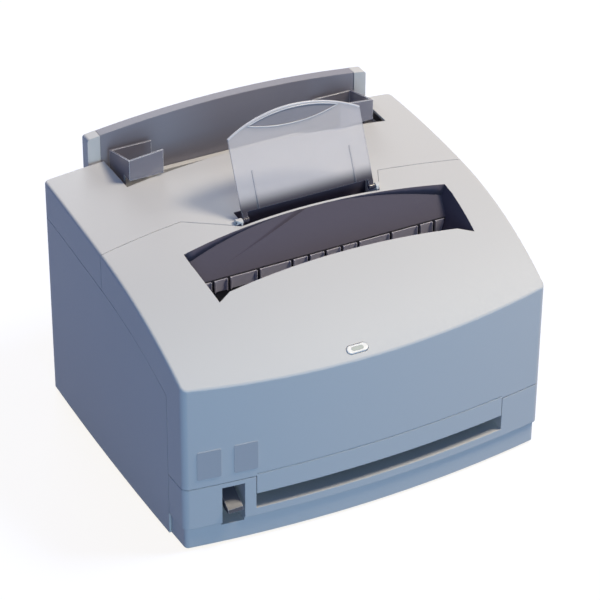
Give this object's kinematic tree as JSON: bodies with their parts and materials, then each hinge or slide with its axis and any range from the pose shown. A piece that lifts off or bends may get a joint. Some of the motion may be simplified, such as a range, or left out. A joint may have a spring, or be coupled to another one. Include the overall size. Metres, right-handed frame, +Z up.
{
  "type": "laser printer",
  "caption": "Desktop laser printer with an upright rear sheet feeder, sliding paper guides, a hinged front cover, a fold-down output flap and a path selector lever.",
  "frame": {"origin": "middle of the whole outline at the level of the feet's soles", "axes": "+X to the right seen from the front, +Y from the front to the rear, +Z up"},
  "size_m": [0.349, 0.3088, 0.2924],
  "materials": {
    "board": "solder resist",
    "button": "satin",
    "casing": "fine-grained satin",
    "clear": "clear, smoky",
    "cover": "fine-grained satin",
    "dark_inner": "satin",
    "drum": "coated, glossy",
    "extension": "satin",
    "film": "thin sleeve",
    "foam": "fine foam",
    "foot": "matt",
    "gear": "self-lubricating, satin",
    "lens": "clear, tinted",
    "lever": "satin",
    "mirror": "polished",
    "motor": "satin",
    "optics": "polished",
    "port": "satin",
    "roller_rubber": "ground matt",
    "shaft_steel": "ground",
    "sheet_steel": "zinc-plated",
    "socket": "satin"
  },
  "bodies": {
    "casing": {"base_casing": "casing", "casing_screws": "shaft_steel", "control_board": "board", "data_port": "port", "feed_guide": "dark_inner", "feeder_chute": "dark_inner", "fuser_cover": "dark_inner", "fuser_frame": "sheet_steel", "fuser_heater": "dark_inner", "left_frame": "sheet_steel", "left_side_panel": "casing", "main_motor": "motor", "mains_inlet": "socket", "paper_support": "casing", "power_board": "board", "rear_panel": "casing", "right_frame": "sheet_steel", "right_side_panel": "casing", "rubber_feet": "foot", "scanner_cover": "sheet_steel", "scanner_housing": "dark_inner", "scanner_optics": "optics", "separation_pad": "roller_rubber", "toner_cartridge": "dark_inner", "top_rear_cover": "casing", "transport_guide": "dark_inner"},
    "front_cover": {"front_cover": "cover", "delivery_guide": "dark_inner", "panel_board": "board"},
    "control_button": {"control_button": "button", "button_lens": "lens"},
    "output_flap": {"output_flap": "clear"},
    "left_paper_guide": {"left_paper_guide": "clear"},
    "right_paper_guide": {"right_paper_guide": "clear"},
    "guide_pinion": {"guide_pinion": "gear"},
    "support_extension": {"support_extension": "extension"},
    "selector_lever": {"selector_lever": "lever"},
    "lift_plate": {"lift_plate": "sheet_steel"},
    "pickup_roller": {"pickup_roller": "roller_rubber"},
    "registration_roller": {"registration_roller": "roller_rubber"},
    "registration_pinch_rollers": {"registration_pinch_rollers": "gear"},
    "transfer_roller": {"transfer_roller": "foam"},
    "photo_drum": {"photo_drum": "drum"},
    "developer_roller": {"developer_roller": "roller_rubber"},
    "charge_roller": {"charge_roller": "roller_rubber"},
    "polygon_mirror": {"polygon_mirror": "mirror"},
    "fuser_film": {"fuser_film": "film"},
    "pressure_roller": {"pressure_roller": "foam"},
    "exit_roller": {"exit_roller": "roller_rubber"},
    "exit_pinch_rollers": {"exit_pinch_rollers": "gear"},
    "delivery_roller": {"delivery_roller": "roller_rubber"},
    "delivery_pinch_rollers": {"delivery_pinch_rollers": "gear"},
    "motor_pinion": {"motor_pinion": "gear"},
    "feed_idler_gear": {"feed_idler_gear": "gear"},
    "pickup_idler_gear": {"pickup_idler_gear": "gear"},
    "middle_a_gear": {"middle_a_gear": "gear"},
    "middle_b_gear": {"middle_b_gear": "gear"},
    "exit_idler_gear": {"exit_idler_gear": "gear"},
    "riser_a_gear": {"riser_a_gear": "gear"},
    "riser_b_gear": {"riser_b_gear": "gear"}
  },
  "joints": [
    {"name": "front_cover_hinge", "type": "hinge", "parent": "casing", "child": "front_cover", "pos_m": [0, -0.13655, 0.051], "axis": [1, 0, 0], "range_deg": [0, 78]},
    {"name": "output_flap_hinge", "type": "hinge", "parent": "casing", "child": "output_flap", "pos_m": [0.0185, 0.00125, 0.2135], "axis": [1, 0, 0], "range_deg": [-61, 0]},
    {"name": "left_guide_slide", "type": "slide", "parent": "casing", "child": "left_paper_guide", "axis": [1, 0, 0], "range_m": [0, 0.07]},
    {"name": "right_guide_slide", "type": "slide", "parent": "casing", "child": "right_paper_guide", "axis": [1, 0, 0], "range_m": [-0.07, 0]},
    {"name": "guide_pinion_spin", "type": "hinge", "parent": "casing", "child": "guide_pinion", "pos_m": [0.0125, 0.09945, 0.193], "axis": [0, 1, 0], "range_deg": [-40, 800]},
    {"name": "extension_slide", "type": "slide", "parent": "casing", "child": "support_extension", "axis": [0, 0, 1], "range_m": [0, 0.07]},
    {"name": "selector_hinge", "type": "hinge", "parent": "casing", "child": "selector_lever", "pos_m": [0, -0.12255, 0.0465], "axis": [1, 0, 0], "range_deg": [-42, 0]},
    {"name": "button_press", "type": "slide", "parent": "front_cover", "child": "control_button", "axis": [0, 0.5229, -0.8524], "range_m": [0, 0.0012], "stiffness_N_per_m": 400},
    {"name": "lift_plate_hinge", "type": "hinge", "parent": "casing", "child": "lift_plate", "pos_m": [0, 0.13245, 0.173], "axis": [1, 0, 0], "range_deg": [0, 5]},
    {"name": "drum_spin", "type": "hinge", "parent": "casing", "child": "photo_drum", "pos_m": [0, 0.01645, 0.05215], "axis": [1, 0, 0], "continuous": true},
    {"name": "transfer_roller_spin", "type": "hinge", "parent": "casing", "child": "transfer_roller", "pos_m": [0, 0.01645, 0.03235], "axis": [1, 0, 0], "continuous": true},
    {"name": "feed_idler_spin", "type": "hinge", "parent": "casing", "child": "feed_idler_gear", "pos_m": [0, 0.03835, 0.02951], "axis": [1, 0, 0], "continuous": true},
    {"name": "registration_roller_spin", "type": "hinge", "parent": "casing", "child": "registration_roller", "pos_m": [0, 0.05845, 0.03385], "axis": [1, 0, 0], "continuous": true},
    {"name": "pickup_idler_spin", "type": "hinge", "parent": "casing", "child": "pickup_idler_gear", "pos_m": [0, 0.05265, 0.08246], "axis": [1, 0, 0], "continuous": true},
    {"name": "pickup_roller_spin", "type": "hinge", "parent": "casing", "child": "pickup_roller", "pos_m": [0, 0.10045, 0.098], "axis": [1, 0, 0], "continuous": true},
    {"name": "middle_a_spin", "type": "hinge", "parent": "casing", "child": "middle_a_gear", "pos_m": [0, -0.01311, 0.04478], "axis": [1, 0, 0], "continuous": true},
    {"name": "middle_b_spin", "type": "hinge", "parent": "casing", "child": "middle_b_gear", "pos_m": [0, -0.04956, 0.04208], "axis": [1, 0, 0], "continuous": true},
    {"name": "pressure_roller_spin", "type": "hinge", "parent": "casing", "child": "pressure_roller", "pos_m": [0, -0.07555, 0.02935], "axis": [1, 0, 0], "continuous": true},
    {"name": "exit_idler_spin", "type": "hinge", "parent": "casing", "child": "exit_idler_gear", "pos_m": [0, -0.09421, 0.02933], "axis": [1, 0, 0], "continuous": true},
    {"name": "exit_roller_spin", "type": "hinge", "parent": "casing", "child": "exit_roller", "pos_m": [0, -0.10755, 0.03385], "axis": [1, 0, 0], "continuous": true},
    {"name": "riser_a_spin", "type": "hinge", "parent": "casing", "child": "riser_a_gear", "pos_m": [0, -0.04813, 0.08317], "axis": [1, 0, 0], "continuous": true},
    {"name": "riser_b_spin", "type": "hinge", "parent": "casing", "child": "riser_b_gear", "pos_m": [0, -0.03401, 0.12663], "axis": [1, 0, 0], "continuous": true},
    {"name": "delivery_roller_spin", "type": "hinge", "parent": "front_cover", "child": "delivery_roller", "pos_m": [0, -0.05355, 0.149], "axis": [1, 0, 0], "continuous": true},
    {"name": "motor_pinion_spin", "type": "hinge", "parent": "casing", "child": "motor_pinion", "pos_m": [0, -0.01311, 0.06839], "axis": [1, 0, 0], "continuous": true},
    {"name": "registration_pinch_spin", "type": "hinge", "parent": "casing", "child": "registration_pinch_rollers", "pos_m": [0, 0.05845, 0.04465], "axis": [1, 0, 0], "continuous": true},
    {"name": "exit_pinch_spin", "type": "hinge", "parent": "casing", "child": "exit_pinch_rollers", "pos_m": [0, -0.10755, 0.04515], "axis": [1, 0, 0], "continuous": true},
    {"name": "delivery_pinch_spin", "type": "hinge", "parent": "front_cover", "child": "delivery_pinch_rollers", "pos_m": [0, -0.0415, 0.149], "axis": [1, 0, 0], "continuous": true},
    {"name": "developer_spin", "type": "hinge", "parent": "casing", "child": "developer_roller", "pos_m": [0, 0.03509, 0.05715], "axis": [1, 0, 0], "continuous": true},
    {"name": "charge_spin", "type": "hinge", "parent": "casing", "child": "charge_roller", "pos_m": [0, 0.01053, 0.06841], "axis": [1, 0, 0], "continuous": true},
    {"name": "fuser_film_spin", "type": "hinge", "parent": "casing", "child": "fuser_film", "pos_m": [0, -0.07555, 0.05215], "axis": [1, 0, 0], "continuous": true},
    {"name": "polygon_mirror_spin", "type": "hinge", "parent": "casing", "child": "polygon_mirror", "pos_m": [0.016, 0.06045, 0.133], "axis": [0, 0, 1], "continuous": true}
  ],
  "couplings": [
    {"joint": "right_guide_slide", "follows": "left_guide_slide", "ratio": -1},
    {"joint": "guide_pinion_spin", "follows": "left_guide_slide", "rad_per_m": 166.67},
    {"joint": "transfer_roller_spin", "follows": "drum_spin", "ratio": -1.6},
    {"joint": "feed_idler_spin", "follows": "drum_spin", "ratio": 0.8421},
    {"joint": "registration_roller_spin", "follows": "drum_spin", "ratio": -2},
    {"joint": "pickup_idler_spin", "follows": "drum_spin", "ratio": -0.34783},
    {"joint": "pickup_roller_spin", "follows": "drum_spin", "ratio": 0.8},
    {"joint": "middle_a_spin", "follows": "drum_spin", "ratio": -0.66667},
    {"joint": "middle_b_spin", "follows": "drum_spin", "ratio": 0.66667},
    {"joint": "pressure_roller_spin", "follows": "drum_spin", "ratio": -1.1429},
    {"joint": "exit_idler_spin", "follows": "drum_spin", "ratio": 1.5238},
    {"joint": "exit_roller_spin", "follows": "drum_spin", "ratio": -2},
    {"joint": "riser_a_spin", "follows": "drum_spin", "ratio": -0.53333},
    {"joint": "riser_b_spin", "follows": "drum_spin", "ratio": 0.53333},
    {"joint": "delivery_roller_spin", "follows": "drum_spin", "ratio": -1.7778},
    {"joint": "motor_pinion_spin", "follows": "drum_spin", "ratio": 2.2857},
    {"joint": "registration_pinch_spin", "follows": "drum_spin", "ratio": 2.6667},
    {"joint": "exit_pinch_spin", "follows": "drum_spin", "ratio": 2.4},
    {"joint": "delivery_pinch_spin", "follows": "drum_spin", "ratio": 2.4},
    {"joint": "developer_spin", "follows": "drum_spin", "ratio": -1.7143},
    {"joint": "charge_spin", "follows": "drum_spin", "ratio": -2.4},
    {"joint": "fuser_film_spin", "follows": "drum_spin", "ratio": 1}
  ]
}
